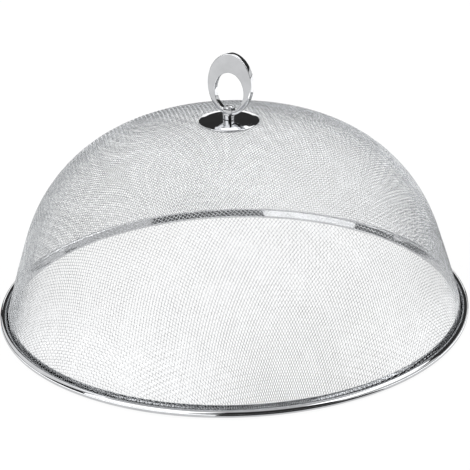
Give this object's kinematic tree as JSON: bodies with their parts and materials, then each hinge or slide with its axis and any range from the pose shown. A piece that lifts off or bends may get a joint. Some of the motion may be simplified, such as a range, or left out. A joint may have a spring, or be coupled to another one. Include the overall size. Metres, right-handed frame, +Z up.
{
  "type": "food dome",
  "caption": "Wire mesh food dome with a rolled metal rim, a round top plate and an upright ring handle, set over a dish to keep insects off.",
  "frame": {"origin": "centre of the rim's resting face, on the surface that the dome stands on", "axes": "+Z up along the dome's axis; the ring handle stands in the XZ plane with its flat faces towards -Y and +Y, and leans 4.5 degrees to +X"},
  "size_m": [0.355, 0.355, 0.2011],
  "materials": {
    "polished_steel": "stainless steel, mirror polished",
    "woven_steel": "bright drawn stainless steel wire, plain woven",
    "plain_steel": "stainless steel, as pressed"
  },
  "bodies": {
    "root": {"mesh_dome": "woven_steel", "rim_band": "polished_steel", "top_plate": "polished_steel", "handle_post": "polished_steel", "handle_ring": "polished_steel", "handle_screw": "polished_steel", "backing_plate": "plain_steel", "lock_washer": "plain_steel", "hex_nut": "plain_steel"}
  },
  "joints": []
}
